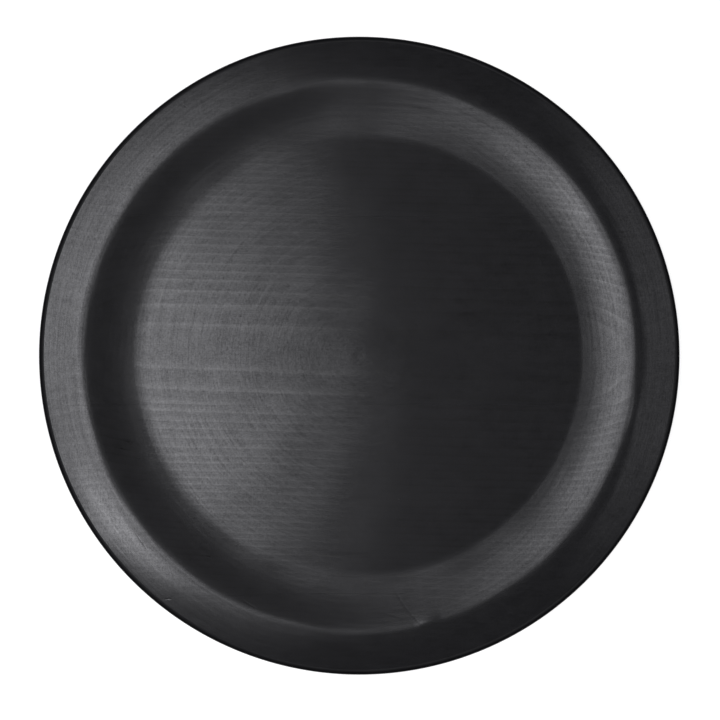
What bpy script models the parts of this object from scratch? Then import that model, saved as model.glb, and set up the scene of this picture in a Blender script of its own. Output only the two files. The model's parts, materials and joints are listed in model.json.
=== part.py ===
"""Round serving tray, turned from a blank of four edge-glued boards.

Blender 4.5, metres, +Z up. The origin is the centre of the foot's rest plane. The grain, and so every glue
joint, runs along X. Each board is a plank that a Boolean cuts down to the shape that the lathe leaves.
"""

import math

import bmesh
import bpy
from mathutils import Vector

# Driving dimensions
TRAY_DIAMETER = 0.356
TRAY_HEIGHT = 0.0175
RIM_WIDTH = 0.0242  # from the crest, which is the well's edge, out to the tray's edge
RIM_FALL = 0.0026  # how much lower the rim is at the tray's edge than at its crest
WALL_WIDTH = 0.0305
WELL_DEPTH = 0.0055
EDGE_ROUND = 0.0140  # radius of the slightly rounded bevel around the outside
NOSE_ROUND = 0.0025  # radius where the bevel turns under
FOOT_RADIUS = 0.115
FOOT_RING_WIDTH = 0.014
FOOT_HEIGHT = 0.003
FOOT_ROUND = 0.0010
RECESS_DEPTH = 0.0025
RECESS_COVE = 0.0020
BOARD_WIDTH = 0.104
FIRST_JOINT_Y = -0.0272  # the glue joint nearest to the middle
GLUE_GAP = 0.0003

# Slopes of the turned curves, in degrees
WALL_FOOT_SLOPE = 6.6
RIM_END_SLOPE = 11.5  # of the rim where it meets the bevel
CORNER_SLOPE = 35  # of the bevel there, which leaves a soft corner between the two
NOSE_SLOPE = 62  # of the bevel at its lower end
EDGE_UNDERCUT = 60  # how far the nose turns in underneath

# The wall steepens with the first power of its run and turns over into the crest with the second
WALL_STEEPEN_POWER = 3
WALL_CREST_POWER = 7

# Above 1, the underside stays low near the foot and rises towards the edge
UNDERSIDE_POWER = 1.8

# Fineness
SPIN_STEPS = 96
WALL_STEPS = 12
RIM_STEPS = 5
UNDERSIDE_STEPS = 6
ROUND_STEPS = 3
NOSE_STEPS = 5
PLANK_MARGIN = 0.005

# Worked out from these
OUTER_RADIUS = TRAY_DIAMETER / 2
CREST_RADIUS = OUTER_RADIUS - RIM_WIDTH
FLOOR_RADIUS = CREST_RADIUS - WALL_WIDTH
FLOOR_Z = TRAY_HEIGHT - WELL_DEPTH
BEVEL_WIDTH = EDGE_ROUND * (math.sin(math.radians(NOSE_SLOPE)) - math.sin(math.radians(CORNER_SLOPE)))
BEVEL_HEIGHT = EDGE_ROUND * (math.cos(math.radians(CORNER_SLOPE)) - math.cos(math.radians(NOSE_SLOPE)))
NOSE_WIDTH = NOSE_ROUND * (1 - math.sin(math.radians(NOSE_SLOPE)))
NOSE_HEIGHT = NOSE_ROUND * math.cos(math.radians(NOSE_SLOPE))
RIM_EDGE_RADIUS = OUTER_RADIUS - NOSE_WIDTH - BEVEL_WIDTH
RECESS_RADIUS = FOOT_RADIUS - FOOT_RING_WIDTH

BOARDS = (
    ("front_board", None, FIRST_JOINT_Y - BOARD_WIDTH),
    ("front_middle_board", FIRST_JOINT_Y - BOARD_WIDTH, FIRST_JOINT_Y),
    ("back_middle_board", FIRST_JOINT_Y, FIRST_JOINT_Y + BOARD_WIDTH),
    ("back_board", FIRST_JOINT_Y + BOARD_WIDTH, None),
)


def arc(centre, radius, start, end, steps):
    """Points in (radius, height) along an arc, ends included, between two angles in degrees."""
    points = []
    for i in range(steps + 1):
        turn = math.radians(start + (end - start) * i / steps)
        points.append(Vector(centre) + radius * Vector((math.cos(turn), math.sin(turn))))
    return points


def wall():
    """The well's wall. It is hollow at its foot, steepest two thirds of the way up, and rounds into the crest."""
    foot_rise = math.tan(math.radians(WALL_FOOT_SLOPE)) * WALL_WIDTH
    crest_fall = (WALL_STEEPEN_POWER * WELL_DEPTH - (WALL_STEEPEN_POWER - 1) * foot_rise) / (
        WALL_CREST_POWER - WALL_STEEPEN_POWER
    )
    steep_rise = WELL_DEPTH - foot_rise + crest_fall
    points = []
    for i in range(WALL_STEPS):
        share = math.sin(math.pi / 2 * i / WALL_STEPS)
        height = foot_rise * share
        height += steep_rise * share**WALL_STEEPEN_POWER - crest_fall * share**WALL_CREST_POWER
        points.append(Vector((FLOOR_RADIUS + WALL_WIDTH * share, FLOOR_Z + height)))
    return points


def rim():
    """The crest and the rim, which is level at the crest and falls ever more steeply towards the tray's edge."""
    run = RIM_EDGE_RADIUS - CREST_RADIUS
    power = math.tan(math.radians(RIM_END_SLOPE)) * run / RIM_FALL
    points = []
    for i in range(RIM_STEPS):
        share = i / RIM_STEPS
        points.append(Vector((CREST_RADIUS + run * share, TRAY_HEIGHT - RIM_FALL * share**power)))
    return points


def outer_edge():
    """From the rim's outer corner down the rounded bevel, and under it."""
    corner_z = TRAY_HEIGHT - RIM_FALL
    corner_turn = math.radians(CORNER_SLOPE)
    bevel_centre = Vector((RIM_EDGE_RADIUS, corner_z)) - EDGE_ROUND * Vector((
        math.sin(corner_turn), math.cos(corner_turn),
    ))
    bevel = arc(bevel_centre, EDGE_ROUND, 90 - CORNER_SLOPE, 90 - NOSE_SLOPE, ROUND_STEPS)
    nose_centre = (OUTER_RADIUS - NOSE_ROUND, corner_z - BEVEL_HEIGHT - NOSE_HEIGHT)
    return bevel + arc(nose_centre, NOSE_ROUND, 90 - NOSE_SLOPE, -EDGE_UNDERCUT, NOSE_STEPS)[1:]


def underside(edge):
    """From the outer edge in and down to the top of the foot."""
    rise = edge.y - FOOT_HEIGHT
    run = edge.x - FOOT_RADIUS
    points = []
    for i in range(1, UNDERSIDE_STEPS + 1):
        share = 1 - i / UNDERSIDE_STEPS
        points.append(Vector((FOOT_RADIUS + run * share, FOOT_HEIGHT + rise * share**UNDERSIDE_POWER)))
    return points


def foot_and_recess():
    """The foot's side, its flat ring, and the shallow recess that leaves the ring proud."""
    side = arc((FOOT_RADIUS - FOOT_ROUND, FOOT_ROUND), FOOT_ROUND, 0, -90, ROUND_STEPS)
    corner_centre = (RECESS_RADIUS - RECESS_COVE, RECESS_DEPTH - RECESS_COVE)
    return side + [Vector((RECESS_RADIUS, 0))] + arc(corner_centre, RECESS_COVE, 0, 90, ROUND_STEPS)


def turned_profile():
    """The half section, down the outer side from the middle of the floor to the middle of the underside."""
    edge = outer_edge()
    points = [Vector((0, FLOOR_Z))] + wall() + rim() + edge
    points += underside(edge[-1]) + foot_and_recess() + [Vector((0, RECESS_DEPTH))]
    return points


def turned_form():
    """The whole tray as one closed shape. It is a guide for the Booleans, and isn't a node."""
    shape = bmesh.new()
    ring = [shape.verts.new((point.x, 0, point.y)) for point in turned_profile()]
    edges = [shape.edges.new(pair) for pair in zip(ring, ring[1:])]
    bmesh.ops.spin(
        shape,
        geom=ring + edges,
        cent=(0, 0, 0),
        axis=(0, 0, 1),
        angle=math.tau,
        steps=SPIN_STEPS,
        use_merge=True,
    )
    bmesh.ops.remove_doubles(shape, verts=shape.verts, dist=1e-5)
    bmesh.ops.recalc_face_normals(shape, faces=shape.faces)
    mesh = bpy.data.meshes.new("turned_form")
    shape.to_mesh(mesh)
    shape.free()
    form = bpy.data.objects.new("turned_form", mesh)
    bpy.context.scene.collection.objects.link(form)
    form.hide_render = True
    form.display_type = "WIRE"
    return form


def black_wood():
    """Black-stained wood with a satin wax finish."""
    material = bpy.data.materials.new("black_wood")
    material.use_nodes = True
    surface = material.node_tree.nodes["Principled BSDF"]
    surface.inputs["Base Color"].default_value = (0.012, 0.012, 0.013, 1)
    surface.inputs["Roughness"].default_value = 0.25
    surface.inputs["Metallic"].default_value = 0
    return material


def board(name, low_y, high_y, form, material):
    """One plank of the blank, cut to the part of the turned form that it fills."""
    outside = OUTER_RADIUS + PLANK_MARGIN
    low = -outside if low_y is None else low_y + GLUE_GAP / 2
    high = outside if high_y is None else high_y - GLUE_GAP / 2
    bottom = -PLANK_MARGIN
    top = TRAY_HEIGHT + PLANK_MARGIN
    plank = bmesh.new()
    bmesh.ops.create_cube(plank, size=1)
    bmesh.ops.scale(plank, vec=(2 * outside, high - low, top - bottom), verts=plank.verts)
    bmesh.ops.translate(plank, vec=(0, 0, (top + bottom) / 2), verts=plank.verts)
    mesh = bpy.data.meshes.new(name)
    plank.to_mesh(mesh)
    plank.free()
    mesh.materials.append(material)
    piece = bpy.data.objects.new(name, mesh)
    piece.location.y = (low + high) / 2
    bpy.context.scene.collection.objects.link(piece)
    cut = piece.modifiers.new("turned", "BOOLEAN")
    cut.operation = "INTERSECT"
    cut.solver = "EXACT"
    cut.object = form


def main():
    for leftover in list(bpy.data.objects):
        bpy.data.objects.remove(leftover)
    form = turned_form()
    material = black_wood()
    for name, low_y, high_y in BOARDS:
        board(name, low_y, high_y, form, material)


main()
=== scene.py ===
"""The looks of the round serving tray: four boards of black-stained wood, turned and sanded as one.

Metres, +Z up, in the CAD's frame. The wood is solid: its rings, fibres and pores are worked out from the
point in space, so they run through each board and turn into end grain where the turning cuts across them.
"""

import json
import math

import bmesh
import bpy
import numpy as np
from mathutils import Matrix, Vector


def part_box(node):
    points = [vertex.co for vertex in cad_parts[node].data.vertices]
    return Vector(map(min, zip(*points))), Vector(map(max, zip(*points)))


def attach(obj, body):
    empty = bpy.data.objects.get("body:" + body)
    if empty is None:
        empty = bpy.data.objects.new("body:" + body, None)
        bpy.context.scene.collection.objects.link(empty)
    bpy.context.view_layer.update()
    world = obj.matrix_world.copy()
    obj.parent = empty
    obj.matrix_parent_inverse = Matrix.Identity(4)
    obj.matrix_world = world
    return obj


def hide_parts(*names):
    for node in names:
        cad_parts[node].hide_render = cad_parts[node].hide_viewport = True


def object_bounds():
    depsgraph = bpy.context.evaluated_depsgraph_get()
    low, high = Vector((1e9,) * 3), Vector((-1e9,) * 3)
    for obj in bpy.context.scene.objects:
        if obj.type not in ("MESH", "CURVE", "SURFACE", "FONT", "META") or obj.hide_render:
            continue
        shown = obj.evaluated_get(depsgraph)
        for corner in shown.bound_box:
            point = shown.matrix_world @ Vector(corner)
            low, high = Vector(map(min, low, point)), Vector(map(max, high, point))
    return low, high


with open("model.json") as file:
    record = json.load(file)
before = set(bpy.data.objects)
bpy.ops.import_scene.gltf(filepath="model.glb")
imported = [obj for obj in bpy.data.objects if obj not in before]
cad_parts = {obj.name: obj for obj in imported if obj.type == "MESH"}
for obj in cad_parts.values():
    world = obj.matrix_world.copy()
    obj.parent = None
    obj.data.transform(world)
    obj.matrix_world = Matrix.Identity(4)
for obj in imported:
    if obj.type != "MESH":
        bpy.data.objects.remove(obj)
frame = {"record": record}
CAD_LOW, CAD_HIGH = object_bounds()

# Sizes from the frame
BOARD_NAMES = ("front_board", "front_middle_board", "back_middle_board", "back_board")
OUTER_RADIUS = (CAD_HIGH.x - CAD_LOW.x) / 2
TRAY_HEIGHT = CAD_HIGH.z
FLOOR_Z = next(m["pos_m"][2] for m in frame["record"]["mounts"] if m["name"] == "well_floor")

# Sizes of the turned shape, as in the CAD
RIM_WIDTH = 0.0242
RIM_FALL = 0.0026
WALL_WIDTH = 0.0305
EDGE_ROUND = 0.0140
NOSE_ROUND = 0.0025
FOOT_RADIUS = 0.115
FOOT_RING_WIDTH = 0.014
FOOT_HEIGHT = 0.003
FOOT_ROUND = 0.0010
RECESS_DEPTH = 0.0025
RECESS_COVE = 0.0020
WALL_FOOT_SLOPE = 6.6
RIM_END_SLOPE = 11.5
CORNER_SLOPE = 35
NOSE_SLOPE = 62
EDGE_UNDERCUT = 60
WALL_STEEPEN_POWER = 3
WALL_CREST_POWER = 7
UNDERSIDE_POWER = 1.8
CREST_RADIUS = OUTER_RADIUS - RIM_WIDTH
FLOOR_RADIUS = CREST_RADIUS - WALL_WIDTH
BEVEL_WIDTH = EDGE_ROUND * (math.sin(math.radians(NOSE_SLOPE)) - math.sin(math.radians(CORNER_SLOPE)))
BEVEL_HEIGHT = EDGE_ROUND * (math.cos(math.radians(CORNER_SLOPE)) - math.cos(math.radians(NOSE_SLOPE)))
NOSE_WIDTH = NOSE_ROUND * (1 - math.sin(math.radians(NOSE_SLOPE)))
NOSE_HEIGHT = NOSE_ROUND * math.cos(math.radians(NOSE_SLOPE))
RIM_EDGE_RADIUS = OUTER_RADIUS - NOSE_WIDTH - BEVEL_WIDTH
RECESS_RADIUS = FOOT_RADIUS - FOOT_RING_WIDTH

# What the hand tools leave, which the CAD has as plain turning
HAIRLINE = 0.00004  # the gap that shows at a glue joint
FLOOR_EASE = 0.0016  # how much further in the wall starts, once its foot is sanded soft
EASE_LOPSIDED = 0.35  # the share by which that is more on the left than in front, and less on the right
FLOOR_BEND = 0.0028  # half the width of the bend from the floor into the wall
BEND_LOPSIDED = 0.55
DRYING = 0.004  # the share by which the tray has shrunk across the grain
NOTCH_TURN = -75.5  # in degrees, where the crest crosses the knot
NOTCH_HALF_TURN = 3.2
NOTCH_DEPTH = 0.0012
CREST_REACH = 0.0045  # how far to either side of the crest its waver and the notch are felt
CREST_INSET = -0.0001

# The crest's waver: the height of each wave, how many of them go round the tray, and their phase
CREST_WAVES = ((0.0002, 1, math.pi / 2), (-0.00035, 2, math.pi / 2), (0.00006, 7, 2), (0.00005, 13, 0))

# Relief on the upper face. Of each ripple: its shortest and longest wave, and its seed
BROAD_RELIEF = 0.00003
BROAD_RIPPLE = (0.03, 0.08, 11)
MARK_RELIEF = 0.000006
MARK_SPACING = 0.0035
MARK_RUN_IN = 0.012
MARK_RIPPLE = (0.04, 0.1, 13)
MARK_WAVER = 2  # in radians, how far that ripple shifts the marks
PATCH_RIPPLE = (0.03, 0.09, 12)
RIPPLE_WAVES = 16
RELIEF_FADE = 0.0002  # no relief at the very top, which stays inside the CAD's height
RELIEF_RUN_OUT = 0.003

# Fineness of the turned mesh
TURN_STEP = 0.5
NOTCH_STEP = 0.25
FLOOR_STEP = 0.0025
FINE_START = 4 * FLOOR_BEND  # how far inside the floor's edge the rows start to be close together
WALL_STEP = 0.0006
RIM_STEPS = 34
ROUND_STEPS = 6
BEVEL_STEPS = 10
NOSE_STEPS = 12
UNDERSIDE_STEPS = 24
RECESS_STEPS = 14
SHARP_ANGLE = 18
CUT_PRECISION = 1e-7


# ---------------------------------------------------------------- the turned shape

def arc(centre, radius, start, end, steps):
    turns = np.radians(np.linspace(start, end, steps + 1))
    return np.column_stack((centre[0] + radius * np.cos(turns), centre[1] + radius * np.sin(turns)))


def well_height(radius, turn):
    """The floor and the wall. Their bend is soft, and softer on the side that was sanded harder."""
    start = FLOOR_RADIUS - FLOOR_EASE * (1 - EASE_LOPSIDED * np.cos(turn))
    soft = FLOOR_BEND * (1 - BEND_LOPSIDED * np.cos(turn))
    past = radius - start
    bend = soft * np.clip(past / (2 * soft) + 0.5, 0, 1) ** 2
    gentle = math.tan(math.radians(WALL_FOOT_SLOPE))
    foot_rise = gentle * (CREST_RADIUS - start)
    depth = TRAY_HEIGHT - FLOOR_Z
    crest_fall = (WALL_STEEPEN_POWER * depth - (WALL_STEEPEN_POWER - 1) * foot_rise) / (
        WALL_CREST_POWER - WALL_STEEPEN_POWER
    )
    steep_rise = depth - foot_rise + crest_fall
    share = np.clip(past / (CREST_RADIUS - start), 0, 1)
    height = gentle * np.where(past > soft, past, bend)
    return FLOOR_Z + height + steep_rise * share**WALL_STEEPEN_POWER - crest_fall * share**WALL_CREST_POWER


def well():
    """Rows of the floor and the wall. They are close together from just before the floor bends."""
    fine_radius = FLOOR_RADIUS - FINE_START
    flat = np.arange(0, fine_radius, FLOOR_STEP)
    curved = np.arange(fine_radius, CREST_RADIUS - WALL_STEP / 2, WALL_STEP)
    radius = np.concatenate((flat, curved))
    return np.column_stack((radius, well_height(radius, 0)))


def rim():
    """The crest and the rim."""
    share = np.linspace(0, 1, RIM_STEPS, endpoint=False)
    run = RIM_EDGE_RADIUS - CREST_RADIUS
    power = math.tan(math.radians(RIM_END_SLOPE)) * run / RIM_FALL
    return np.column_stack((CREST_RADIUS + run * share, TRAY_HEIGHT - RIM_FALL * share**power))


def outer_edge():
    """From the rim's outer corner down the rounded bevel, and under it."""
    corner_z = TRAY_HEIGHT - RIM_FALL
    corner_turn = math.radians(CORNER_SLOPE)
    bevel_centre = (
        RIM_EDGE_RADIUS - EDGE_ROUND * math.sin(corner_turn), corner_z - EDGE_ROUND * math.cos(corner_turn),
    )
    bevel = arc(bevel_centre, EDGE_ROUND, 90 - CORNER_SLOPE, 90 - NOSE_SLOPE, BEVEL_STEPS)
    nose_centre = (OUTER_RADIUS - NOSE_ROUND, corner_z - BEVEL_HEIGHT - NOSE_HEIGHT)
    return np.vstack((bevel, arc(nose_centre, NOSE_ROUND, 90 - NOSE_SLOPE, -EDGE_UNDERCUT, NOSE_STEPS)[1:]))


def underside(edge):
    share = np.linspace(1, 0, UNDERSIDE_STEPS + 1)[1:]
    radius = FOOT_RADIUS + (edge[0] - FOOT_RADIUS) * share
    return np.column_stack((radius, FOOT_HEIGHT + (edge[1] - FOOT_HEIGHT) * share**UNDERSIDE_POWER))


def foot_and_recess():
    side = arc((FOOT_RADIUS - FOOT_ROUND, FOOT_ROUND), FOOT_ROUND, 0, -90, ROUND_STEPS)
    cove_centre = (RECESS_RADIUS - RECESS_COVE, RECESS_DEPTH - RECESS_COVE)
    cove = arc(cove_centre, RECESS_COVE, 0, 90, ROUND_STEPS)
    radius = np.linspace(cove[-1][0], 0, RECESS_STEPS + 1)[1:]
    recess = np.column_stack((radius, np.full(RECESS_STEPS, RECESS_DEPTH)))
    return np.vstack((side, [(RECESS_RADIUS, 0)], cove, recess))


def turned_profile():
    """The half section as (radius, height) points, from the middle of the floor to that of the underside."""
    edge = outer_edge()
    return np.vstack((well(), rim(), edge, underside(edge[-1]), foot_and_recess()))


def ripple(x, y, shortest, longest, seed):
    """Smooth noise of spread 1, made of waves whose lengths and directions are drawn from the seed."""
    draw = np.random.default_rng(seed)
    total = np.zeros_like(x)
    for _ in range(RIPPLE_WAVES):
        turn, phase = draw.uniform(0, math.tau, 2)
        length = draw.uniform(shortest, longest)
        total += np.sin(math.tau * (x * math.cos(turn) + y * math.sin(turn)) / length + phase)
    return total * math.sqrt(2 / RIPPLE_WAVES)


def relief(x, y):
    """The unevenness that sanding by hand leaves on the upper face, as a height to add."""
    radius = np.hypot(x, y)
    on_wall = np.clip((radius - FLOOR_RADIUS) / MARK_RUN_IN, 0, 1)
    broad = ripple(x, y, *BROAD_RIPPLE)
    marks = np.sin(math.tau * radius / MARK_SPACING + MARK_WAVER * ripple(x, y, *MARK_RIPPLE))
    patchy = np.clip(0.5 + 0.5 * ripple(x, y, *PATCH_RIPPLE), 0, 1)
    return BROAD_RELIEF * broad + MARK_RELIEF * marks * on_wall * patchy


def turn_angles():
    """Even steps all round, with finer ones where the crest is notched."""
    even = np.arange(0, 360, TURN_STEP)
    fine = np.arange(NOTCH_TURN - NOTCH_HALF_TURN, NOTCH_TURN + NOTCH_HALF_TURN, NOTCH_STEP) % 360
    return np.radians(np.unique(np.round(np.concatenate((even, fine)), 4)))


def crest_shift(radius, turn):
    """How far in the crest lies from its circle: a slight waver, and the notch at the knot."""
    degrees = np.degrees(turn)
    from_notch = np.abs((degrees - NOTCH_TURN + 180) % 360 - 180) / NOTCH_HALF_TURN
    notch = NOTCH_DEPTH * np.clip(1 - from_notch**2, 0, 1) ** 2
    waver = CREST_INSET + sum(height * np.sin(count * turn + phase) for height, count, phase in CREST_WAVES)
    near = np.exp(-(((radius - CREST_RADIUS) / CREST_REACH) ** 2))
    return (notch + waver) * near


def turned_mesh():
    """The whole tray as one fine mesh: a ring of points for each point of the profile."""
    profile = turned_profile()
    inner = profile[1:-1]
    turns = turn_angles()
    count = len(turns)
    radius, turn = np.meshgrid(inner[:, 0], turns, indexing="ij")
    z = np.repeat(inner[:, 1][:, None], count, axis=1)
    row = np.arange(len(inner))[:, None]
    in_well = row < len(well()) - 1
    z = np.where(in_well, well_height(radius, turn), z)
    upper = row < int(np.argmax(inner[:, 0]))
    radius = radius - np.where(upper, crest_shift(radius, turn), 0)
    x = radius * np.cos(turn)
    y = radius * np.sin(turn) * (1 - DRYING)
    fade = np.clip((RIM_EDGE_RADIUS - radius) / RELIEF_RUN_OUT, 0, 1)
    fade = fade * np.clip((TRAY_HEIGHT - z) / RELIEF_FADE, 0, 1)
    z = z + np.where(upper, fade * relief(x, y), 0)
    points = np.column_stack((x.ravel(), y.ravel(), z.ravel()))
    top = len(points)
    points = np.vstack((points, [(0, 0, profile[0][1]), (0, 0, profile[-1][1])]))
    here = np.arange(count)
    after = (here + 1) % count
    faces = []
    for a in range(0, (len(inner) - 1) * count, count):
        b = a + count
        faces += np.column_stack((a + here, b + here, b + after, a + after)).tolist()
    last = (len(inner) - 1) * count
    faces += np.column_stack((np.full(count, top), here, after)).tolist()
    faces += np.column_stack((np.full(count, top + 1), last + after, last + here)).tolist()
    mesh = bpy.data.meshes.new("turned")
    mesh.from_pydata(points.tolist(), [], faces)
    mesh.update()
    return mesh


def cut_at(shape, y, keep_above):
    """Cuts the shape at a plane across Y, drops what is on the other side, and closes the cut."""
    normal = (0, -1, 0) if keep_above else (0, 1, 0)
    everything = shape.verts[:] + shape.edges[:] + shape.faces[:]
    cut = bmesh.ops.bisect_plane(
        shape, geom=everything, dist=CUT_PRECISION, plane_co=(0, y, 0), plane_no=normal, clear_outer=True,
    )
    loop = [item for item in cut["geom_cut"] if isinstance(item, bmesh.types.BMEdge)]
    bmesh.ops.edgeloop_fill(shape, edges=loop)


def board(name, low, high, turned, material):
    shape = bmesh.new()
    shape.from_mesh(turned)
    if low is not None:
        cut_at(shape, low + HAIRLINE / 2, True)
    if high is not None:
        cut_at(shape, high - HAIRLINE / 2, False)
    bmesh.ops.recalc_face_normals(shape, faces=shape.faces)
    mesh = bpy.data.meshes.new(name + "_turned")
    shape.to_mesh(mesh)
    shape.free()
    mesh.shade_smooth()
    mesh.set_sharp_from_angle(angle=math.radians(SHARP_ANGLE))
    mesh.materials.append(material)
    piece = bpy.data.objects.new(name + "_turned", mesh)
    bpy.context.scene.collection.objects.link(piece)
    return piece


# ---------------------------------------------------------------- materials

class Graph:
    """Adds nodes to a tree. A value may be a number, a tuple or another node's socket."""

    def __init__(self, tree):
        self.tree = tree

    def node(self, kind, values=(), **settings):
        made = self.tree.nodes.new(kind)
        for key, value in settings.items():
            setattr(made, key, value)
        for key, value in dict(values).items():
            self.put(made.inputs[key], value)
        return made

    def put(self, socket, value):
        if isinstance(value, bpy.types.NodeSocket):
            self.tree.links.new(value, socket)
        else:
            socket.default_value = value

    def math(self, operation, *values):
        return self.node("ShaderNodeMath", enumerate(values), operation=operation).outputs[0]

    def total(self, *values):
        result = values[0]
        for value in values[1:]:
            result = self.math("ADD", result, value)
        return result

    def times(self, *values):
        result = values[0]
        for value in values[1:]:
            result = self.math("MULTIPLY", result, value)
        return result

    def vector(self, x, y, z):
        return self.node("ShaderNodeCombineXYZ", {0: x, 1: y, 2: z}).outputs[0]

    def noise(self, place, scale, detail, rough=0.5):
        """Noise that lies round 0, mostly between -0.5 and 0.5."""
        values = {"Vector": place, "Scale": scale, "Detail": detail, "Roughness": rough}
        made = self.node("ShaderNodeTexNoise", values, noise_dimensions="3D")
        return self.math("SUBTRACT", made.outputs[0], 0.5)

    def smooth(self, value, low, high):
        """0 below low, 1 above high, and a smooth step between."""
        values = {"Value": value, "From Min": low, "From Max": high}
        made = self.node("ShaderNodeMapRange", values, interpolation_type="SMOOTHSTEP")
        return made.outputs[0]

    def fall(self, value, low, high):
        """1 below low, 0 above high, and a smooth step between."""
        return self.math("SUBTRACT", 1, self.smooth(value, low, high))


# The materials' sizes are in millimetres
MM = 1000
RING_SPACING = 3.08
PITH_DEPTH = 48
PITH_Y = 2
GRAIN_DRIFT = 0.03
RING_WANDER = 4
WANDER_SCALE = 0.02
RING_WOBBLE = 0.6
WOBBLE_SCALE = 0.12
TRUNK_STRETCH = 0.3  # along the trunk, the rings bend this much more slowly than across it
UNEVEN_YEARS = 1.1
UNEVEN_SCALE = 0.11
LINE_STRENGTH = 0.75
STRENGTH_SCALE = 0.01
YEAR_STEP = 7.3  # far enough apart in the noise for the years to differ
LINE_SHARPNESS = 3.5
LINE_END = (0.88, 1.0)  # in shares of a year's growth
PITH_FADE = (3, 15)  # how near the pith the lines die out, in plan
RIM_LINES = 0.4  # how much of the lines shows on the rim, which was sanded smoother
RIM_FADE = (-9, 1)  # where they fade to that, out from the crest

# Noise in the wood: scale along the grain, across it and down, all in 1/mm, then octaves and their roughness
FIGURE = {
    "fibre": (0.08, 1.6, 1.6, 3, 0.6),
    "pore": (0.3, 1.5, 1.5, 2, 0.5),
    "speck": (1.3, 1.3, 1.3, 2, 0.7),
    "cross": (1.5, 0.375, 1.5, 2, 0.5),
    "blotch": (0.096, 0.16, 0.16, 3, 0.6),
    "cloud": (0.021, 0.035, 0.035, 3, 0.5),
}
PORE_EDGE = (0.14, 0.28)
LATHE_SPACING = 1.0
LATHE_SCALE = 3.0  # of the noise round the circles
LATHE_DETAIL = (3, 0.6)  # octaves, and their roughness

# What each kind of detail adds: to the surface's height in millimetres, to how far wax covers the wood, to
# the roughness of the wood, and to its shade
GRAIN_HEIGHT = {
    "late": 0.001, "fibre": 0.004, "speck": 0.003, "lathe": 0.005, "cross": 0.003, "pore": -0.003,
    "scar_depth": -0.4,
}
WAX = {
    "late": 0.42, "speck": 0.90, "cross": 0.65, "fibre": 0.40, "lathe": 0.75, "blotch": 0.34, "cloud": 0.20,
    "pore": -0.20, "scar": -0.15,
}
ROUGHNESS = {"late": -0.12, "blotch": 0.15, "cloud": 0.10, "fibre": 0.10}
SHADE = {"cloud": 0.5, "blotch": 0.4, "fibre": 0.8, "speck": 1.4, "late": -0.9, "pore": -0.4}
WAX_COVER = 0.60
WAX_ROUGHNESS = 0.095
WOOD_GLOSS = 0.17
WOOD_ROUGHNESS = 0.38
WOOD_COLOUR = (0.0036, 0.0036, 0.0044)

# For each board: how far its rings are shifted, how much lighter it is, how much duller its wax
BOARD_LOOKS = ((0.0, 0.0, 0.0), (0.35, 0.04, -0.01), (0.0, -0.03, 0.01), (0.6, 0.0, 0.0))

MARK_TAPER = 0.4  # a mark is whole out to this share of its half length

# Marks on the upper face: x, y, heading in degrees, half length, half width, depth, bend in 1/mm.
# A depth below 0 is a ridge.
MARKS = (
    (30.5, -144, -44, 27, 1.0, 0.02, 0.019),  # drying cracks that curve round the knot
    (20, -143, -14, 11, 0.9, 0.02, 0.0),
    (7, -109.6, 1, 36, 1.4, 0.02, 0.0),  # ends of the gouge's strokes at the foot of the wall
    (-44, -107.5, -12, 18, 1.6, -0.03, 0.002),
    (35, 136.6, -9, 40, 3.0, -0.05, -0.003),
    (-119.2, -101.6, -54, 6.5, 0.6, 0.09, 0.0),  # scratches and dents from use
    (-60.5, -135.7, -30, 5, 0.6, 0.05, 0.0),
    (-129.8, 88.3, -32, 3.5, 0.6, -0.05, 0.0),
    (-104.8, -133.5, 5, 2.4, 0.8, 0.10, 0.0),
    (-94.8, -145.7, -15, 2.6, 0.7, 0.10, 0.0),
    (-144.8, 63.9, 20, 1.0, 0.8, 0.06, 0.0),
    (-95.4, 136.6, -40, 2.0, 0.6, 0.05, 0.0),
    (-144.5, 52.0, 70, 1.6, 0.7, 0.05, 0.0),
    (93, 0.7, -4, 8, 0.5, -0.02, 0.0),
    (26, -90, -3, 13, 0.6, -0.02, 0.0),
    (78, 38, -38, 7, 0.6, 0.03, 0.0),
    (70, 36, -38, 5, 0.5, 0.03, 0.0),
    (84, 30, -38, 5, 0.5, 0.03, 0.0),
    (14, 92, 10, 4, 0.6, 0.02, 0.15),
    (152, -12, -35, 2.0, 0.5, 0.05, 0.0),
)


def ring_lines(graph, x, y, z, ring_shift):
    """1 on the latewood line that ends each year's ring. It fades towards the pith, under the tray."""
    long_place = graph.vector(graph.times(x, TRUNK_STRETCH), y, z)
    wander = graph.noise(long_place, WANDER_SCALE, 1)
    wobble = graph.noise(long_place, WOBBLE_SCALE, 2)
    across = graph.total(
        y, -PITH_Y, graph.times(x, GRAIN_DRIFT), graph.times(wander, RING_WANDER),
        graph.times(wobble, RING_WOBBLE),
    )
    up = graph.total(z, PITH_DEPTH)
    reach = graph.math("SQRT", graph.total(graph.times(across, across), graph.times(up, up)))
    uneven = graph.noise(graph.vector(0, 0, reach), UNEVEN_SCALE, 1)
    phase = graph.total(graph.times(reach, 1 / RING_SPACING), graph.times(uneven, UNEVEN_YEARS), ring_shift)
    ring = graph.math("FRACT", phase)
    year = graph.math("FLOOR", phase)
    year_place = graph.vector(graph.times(x, STRENGTH_SCALE), 0, graph.times(year, YEAR_STEP))
    strength = graph.total(LINE_STRENGTH, graph.noise(year_place, 1, 1))
    off_pith = graph.smooth(graph.math("ABSOLUTE", across), *PITH_FADE)
    line = graph.times(graph.math("POWER", ring, LINE_SHARPNESS), graph.fall(ring, *LINE_END))
    return graph.times(line, strength, off_pith)


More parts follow.
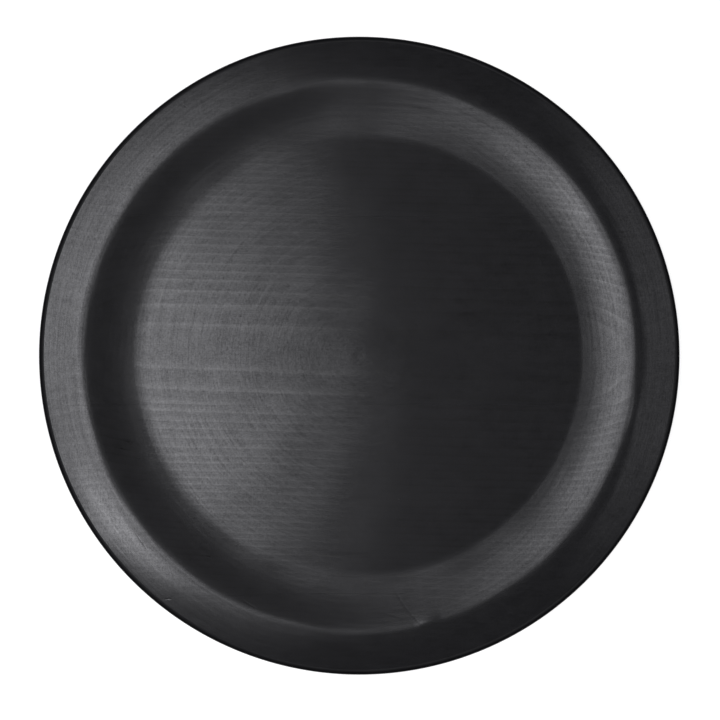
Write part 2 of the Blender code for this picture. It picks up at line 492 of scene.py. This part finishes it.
def lathe_lines(graph, x, y):
    """Noise drawn out along circles round the tray's middle, where the added 1 avoids dividing by 0."""
    radius = graph.math("SQRT", graph.total(graph.times(x, x), graph.times(y, y), 1))
    cos = graph.math("DIVIDE", x, radius)
    sin = graph.math("DIVIDE", y, radius)
    round_place = graph.vector(cos, sin, graph.times(radius, 1 / (LATHE_SCALE * LATHE_SPACING)))
    return graph.noise(round_place, LATHE_SCALE, *LATHE_DETAIL)


def scars(graph, x, y):
    """The depth of the listed marks, and how much of one is here."""
    depth = 0
    cover = 0
    for mark_x, mark_y, heading, half_length, half_width, mark_depth, bend in MARKS:
        cos = math.cos(math.radians(heading))
        sin = math.sin(math.radians(heading))
        from_x = graph.total(x, -mark_x)
        from_y = graph.total(y, -mark_y)
        along = graph.total(graph.times(from_x, cos), graph.times(from_y, sin))
        aside = graph.total(
            graph.times(from_y, cos), graph.times(from_x, -sin), graph.times(along, along, -bend / 2),
        )
        ends = graph.fall(graph.math("ABSOLUTE", along), MARK_TAPER * half_length, half_length)
        here = graph.times(ends, graph.fall(graph.math("ABSOLUTE", aside), 0, half_width))
        depth = graph.total(depth, graph.times(here, mark_depth))
        cover = graph.total(cover, graph.times(here, 1 if mark_depth > 0 else 0))
    return depth, cover


def wood_detail(graph, place, ring_shift):
    """Each kind of detail in the wood and on it, by name, at a place in millimetres."""
    x, y, z = graph.node("ShaderNodeSeparateXYZ", {0: place}).outputs
    detail = {}
    for name, (along, across, down, octaves, rough) in FIGURE.items():
        spot = graph.vector(graph.times(x, along), graph.times(y, across), graph.times(z, down))
        detail[name] = graph.noise(spot, 1, octaves, rough)
    detail["pore"] = graph.smooth(detail["pore"], *PORE_EDGE)
    fade = [CREST_RADIUS * MM + shift for shift in RIM_FADE]
    radius = graph.math("SQRT", graph.total(graph.times(x, x), graph.times(y, y)))
    off_rim = graph.total(RIM_LINES, graph.times(graph.fall(radius, *fade), 1 - RIM_LINES))
    detail["late"] = graph.times(ring_lines(graph, x, y, z, ring_shift), off_rim)
    detail["lathe"] = lathe_lines(graph, x, y)
    detail["scar_depth"], detail["scar"] = scars(graph, x, y)
    return detail


def weigh(graph, start, detail, weights):
    """The start value, plus each kind of detail times its weight."""
    return graph.total(start, *(graph.times(detail[name], weight) for name, weight in weights.items()))


def black_wood(name, ring_shift, tone, dullness):
    """Black-stained wood under thin wax, which covers the dense latewood best."""
    material = bpy.data.materials.new("black_wood_" + name)
    material.use_nodes = True
    graph = Graph(material.node_tree)
    surface = material.node_tree.nodes["Principled BSDF"]
    metres = graph.node("ShaderNodeTexCoord").outputs["Object"]
    place = graph.node("ShaderNodeVectorMath", {0: metres, "Scale": MM}, operation="SCALE").outputs[0]
    detail = wood_detail(graph, place, ring_shift)

    height = weigh(graph, 0, detail, GRAIN_HEIGHT)
    bump = graph.node("ShaderNodeBump", {"Height": height, "Strength": 1.0, "Distance": 1 / MM}).outputs[0]
    graph.put(surface.inputs["Normal"], bump)
    graph.put(surface.inputs["Coat Normal"], bump)
    graph.put(surface.inputs["Coat Weight"], weigh(graph, WAX_COVER - dullness, detail, WAX))
    graph.put(surface.inputs["Coat Roughness"], WAX_ROUGHNESS)
    graph.put(surface.inputs["Specular IOR Level"], WOOD_GLOSS)
    graph.put(surface.inputs["Roughness"], weigh(graph, WOOD_ROUGHNESS, detail, ROUGHNESS))
    shade = weigh(graph, 1 + tone, detail, SHADE)
    graph.put(surface.inputs["Base Color"], graph.vector(*(graph.times(shade, part) for part in WOOD_COLOUR)))
    return material


# ---------------------------------------------------------------- stage, light and camera

STAGE_RADIUS = 6
BACKDROP_RADIUS = 7
STAGE_SEGMENTS = 96
BACKDROP_SEGMENTS = (64, 32)
STAGE_GREY = 0.25
FLOOR_GLOW = 0.85
BACKDROP_GLOW = 1.0
FLOOR_DROP = 0.0002  # how far the stage's floor lies under the tray


def plain_emission(name, strength):
    material = bpy.data.materials.new(name)
    material.use_nodes = True
    graph = Graph(material.node_tree)
    surface = material.node_tree.nodes["Principled BSDF"]
    graph.put(surface.inputs["Base Color"], (STAGE_GREY, STAGE_GREY, STAGE_GREY, 1))
    graph.put(surface.inputs["Roughness"], 1.0)
    graph.put(surface.inputs["Emission Color"], (1, 1, 1, 1))
    graph.put(surface.inputs["Emission Strength"], strength)
    return material


def only_seen(item):
    """The stage shows, but sends no light to the tray."""
    item.visible_diffuse = False
    item.visible_glossy = False
    item.visible_transmission = False


def make_floor():
    """A pale floor, which can't be seen from below."""
    shape = bmesh.new()
    bmesh.ops.create_circle(shape, cap_ends=True, segments=STAGE_SEGMENTS, radius=STAGE_RADIUS)
    mesh = bpy.data.meshes.new("floor")
    shape.to_mesh(mesh)
    shape.free()
    material = plain_emission("pale_floor", FLOOR_GLOW)
    graph = Graph(material.node_tree)
    clear = graph.node("ShaderNodeBsdfTransparent").outputs[0]
    back = graph.node("ShaderNodeNewGeometry").outputs["Backfacing"]
    surface = material.node_tree.nodes["Principled BSDF"].outputs[0]
    mixed = graph.node("ShaderNodeMixShader", {0: back, 1: surface, 2: clear}).outputs[0]
    graph.put(material.node_tree.nodes["Material Output"].inputs["Surface"], mixed)
    mesh.materials.append(material)
    floor = bpy.data.objects.new("floor", mesh)
    floor.location.z = CAD_LOW.z - FLOOR_DROP
    bpy.context.scene.collection.objects.link(floor)
    only_seen(floor)


def make_backdrop():
    shape = bmesh.new()
    around, up = BACKDROP_SEGMENTS
    bmesh.ops.create_uvsphere(shape, u_segments=around, v_segments=up, radius=BACKDROP_RADIUS)
    bmesh.ops.reverse_faces(shape, faces=shape.faces)
    mesh = bpy.data.meshes.new("backdrop")
    shape.to_mesh(mesh)
    shape.free()
    mesh.materials.append(plain_emission("pale_backdrop", BACKDROP_GLOW))
    backdrop = bpy.data.objects.new("backdrop", mesh)
    bpy.context.scene.collection.objects.link(backdrop)
    backdrop.visible_shadow = False
    only_seen(backdrop)


# The dome's light, by the direction (x, y, z) that it comes from. A pair is where a fade starts and ends.
SOFTBOX_LIGHT = 3.94
SOFTBOX_LEAN = 0.322  # towards the back, as y over x
SOFTBOX_HALF_ANGLE = 80.2
SOFTBOX_SIDES = (-0.069, 0.296)
SOFTBOX_NEAR = (-0.157, 0.157)  # its near edge passes just right of overhead
SOFTBOX_TILT = 0.093
SOFTBOX_LOW = (0.35, 0.80)
SOFTBOX_MIDDLE = 0.066  # in y
SOFTBOX_ENDS = (-0.042, 0.723)
ROOM_LIGHT = 0.184
ROOM_FLOOR = (-0.4, 0.2)
HORIZON_LIGHT = 0.191
HORIZON_TOP = (0.1, 0.75)
FILL_LIGHT = 0.64
FILL_NEAR = (0.35, 0.47)
FILL_FAR = (0.681, 0.931)
FILL_MIDDLE = 0.068
FILL_ENDS = (0.10, 0.628)
TABLE_LIGHT = 0.40  # from straight below, which only the underside gets
TABLE_TOP = (-1.0, -0.6)
LIGHT_TINT = (0.99, 0.99, 1.035, 1)

# Brighter spots in the softbox: x, y, half width, half height, how much brighter
LAMP_SPOTS = (
    (-0.030, -0.115, 0.173, 0.173, 1.30),
    (-0.190, -0.115, 0.090, 0.065, 0.60),
    (-0.280, 0.000, 0.090, 0.110, 0.15),
    (-0.430, -0.325, 0.170, 0.110, 3.50),
)


def spot_glow(graph, x, y, spot):
    spot_x, spot_y, half_width, half_height, gain = spot
    off_x = graph.times(graph.total(x, -spot_x), 1 / half_width)
    off_y = graph.times(graph.total(y, -spot_y), 1 / half_height)
    off = graph.total(graph.times(off_x, off_x), graph.times(off_y, off_y))
    return graph.times(graph.math("EXPONENT", graph.times(off, -1)), gain)


def make_light():
    """A dome with one large softbox that leans over the tray from the left, and a weak fill on the right."""
    world = bpy.data.worlds.new("studio")
    world.use_nodes = True
    bpy.context.scene.world = world
    graph = Graph(world.node_tree)
    ray = graph.node("ShaderNodeTexCoord").outputs["Generated"]
    x, y, z = graph.node("ShaderNodeSeparateXYZ", {0: ray}).outputs
    left = graph.times(x, -1)
    side = graph.math("ABSOLUTE", graph.total(y, graph.times(left, -SOFTBOX_LEAN)))
    near_edge = graph.smooth(graph.total(left, graph.times(z, SOFTBOX_TILT)), *SOFTBOX_NEAR)
    turn = math.radians(SOFTBOX_HALF_ANGLE)
    inside = graph.total(graph.times(left, math.sin(turn)), graph.times(side, -math.cos(turn)))
    sides = graph.smooth(inside, *SOFTBOX_SIDES)
    ends = graph.fall(graph.math("ABSOLUTE", graph.total(y, -SOFTBOX_MIDDLE)), *SOFTBOX_ENDS)
    low_edge = graph.smooth(z, *SOFTBOX_LOW)
    glow = graph.total(1, *(spot_glow(graph, x, y, spot) for spot in LAMP_SPOTS))
    softbox = graph.times(near_edge, sides, ends, low_edge, glow, SOFTBOX_LIGHT)
    fill_ends = graph.fall(graph.math("ABSOLUTE", graph.total(y, -FILL_MIDDLE)), *FILL_ENDS)
    fill_reach = graph.times(graph.smooth(x, *FILL_NEAR), graph.fall(x, *FILL_FAR))
    above = graph.math("GREATER_THAN", z, 0)
    fill = graph.times(fill_reach, fill_ends, above, FILL_LIGHT)
    horizon = graph.times(graph.fall(z, *HORIZON_TOP), HORIZON_LIGHT)
    room = graph.times(graph.total(horizon, ROOM_LIGHT), graph.smooth(z, *ROOM_FLOOR))
    table = graph.times(graph.fall(z, *TABLE_TOP), TABLE_LIGHT)
    background = world.node_tree.nodes["Background"]
    graph.put(background.inputs["Color"], LIGHT_TINT)
    graph.put(background.inputs["Strength"], graph.total(room, table, softbox, fill))


CAMERA_HEIGHT = 0.50
CAMERA_LENS = 45.50
CAMERA_AIM = (0.0004, -0.0024)  # off the tray's middle


def make_camera():
    data = bpy.data.cameras.new("camera")
    data.lens = CAMERA_LENS
    camera = bpy.data.objects.new("camera", data)
    bpy.context.scene.collection.objects.link(camera)
    aim = Vector((*CAMERA_AIM, TRAY_HEIGHT - RIM_FALL))
    place = aim + Vector((0, 0, CAMERA_HEIGHT))
    back = (place - aim).normalized()
    right = Vector((0, 1, 0)).cross(back).normalized()
    turn = Matrix((right, back.cross(right), back)).transposed()
    camera.matrix_world = Matrix.Translation(place) @ turn.to_4x4()
    bpy.context.scene.camera = camera


def main():
    make_camera()
    turned = turned_mesh()
    boxes = [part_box(name) for name in BOARD_NAMES]
    joints = [(below[1].y + above[0].y) / 2 for below, above in zip(boxes, boxes[1:])]
    lows = [None] + joints
    highs = joints + [None]
    for name, low, high, look in zip(BOARD_NAMES, lows, highs, BOARD_LOOKS):
        piece = board(name, low, high, turned, black_wood(name, *look))
        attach(piece, "root")
        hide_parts(name)
    bpy.data.meshes.remove(turned)
    make_floor()
    make_backdrop()
    make_light()
    bpy.context.scene.view_settings.view_transform = "Standard"


main()
